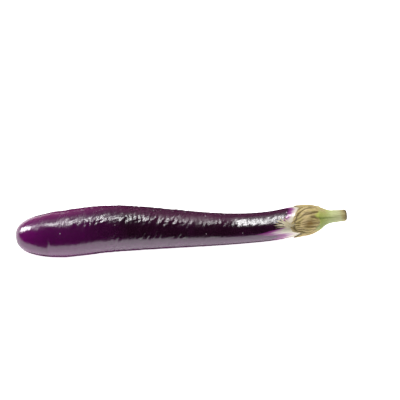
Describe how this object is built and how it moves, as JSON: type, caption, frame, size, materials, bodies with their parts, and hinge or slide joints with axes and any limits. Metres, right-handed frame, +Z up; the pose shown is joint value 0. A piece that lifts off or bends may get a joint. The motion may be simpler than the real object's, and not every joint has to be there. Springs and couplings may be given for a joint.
{
  "type": "eggplant",
  "caption": "Long slender eggplant as picked: a smooth tapering fruit with a rounded blossom end, a lobed calyx over its neck and a short cut stem, lying on its side.",
  "frame": {"origin": "on the surface the fruit lies on, under the middle of its bounding box", "axes": "+X from the blossom end to the cut stem, +Z up from the surface it lies on, +Y to the side that the neck bows towards"},
  "size_m": [0.2922, 0.0448, 0.0413],
  "materials": {
    "skin": "glossy dark purple skin, waxy",
    "calyx": "matt, dried olive and tan plant fibre",
    "stem": "matt, pale green stalk with a browned cut end"
  },
  "bodies": {
    "root": {"fruit": "skin", "calyx": "calyx", "stem": "stem"}
  },
  "joints": []
}
